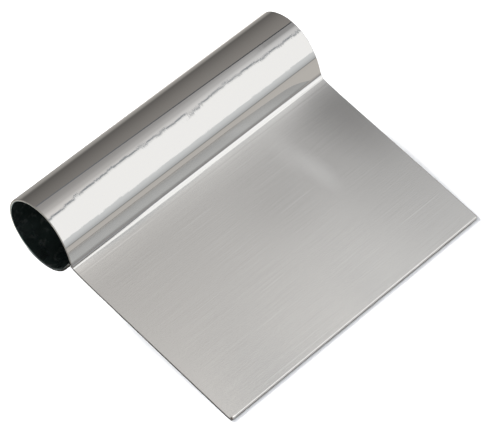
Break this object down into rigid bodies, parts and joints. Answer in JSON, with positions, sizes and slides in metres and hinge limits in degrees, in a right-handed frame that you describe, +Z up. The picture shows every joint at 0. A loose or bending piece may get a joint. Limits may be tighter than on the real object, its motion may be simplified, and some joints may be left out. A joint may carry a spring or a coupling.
{
  "type": "bench scraper",
  "caption": "Stainless bench scraper: a flat rectangular blade with a bevelled cutting edge and a rolled, open-ended tubular handle along its back edge.",
  "frame": {"origin": "on the bench, under the middle of the overall box, in the pose the scraper takes when it lies on a bench on its handle and cutting edge", "axes": "+X along the handle, +Z up, -Y towards the cutting edge"},
  "size_m": [0.12, 0.1064, 0.0292],
  "materials": {
    "brushed_blade": "satin brushed along the handle",
    "polished_handle": "mirror polished outside, mill finish inside",
    "dressed_weld": "dressed flush and polished",
    "raw_weld": "as welded, brushed clean"
  },
  "bodies": {
    "root": {"blade": "brushed_blade", "handle_tube": "polished_handle", "crease_weld": "dressed_weld", "seam_weld": "raw_weld"}
  },
  "joints": []
}
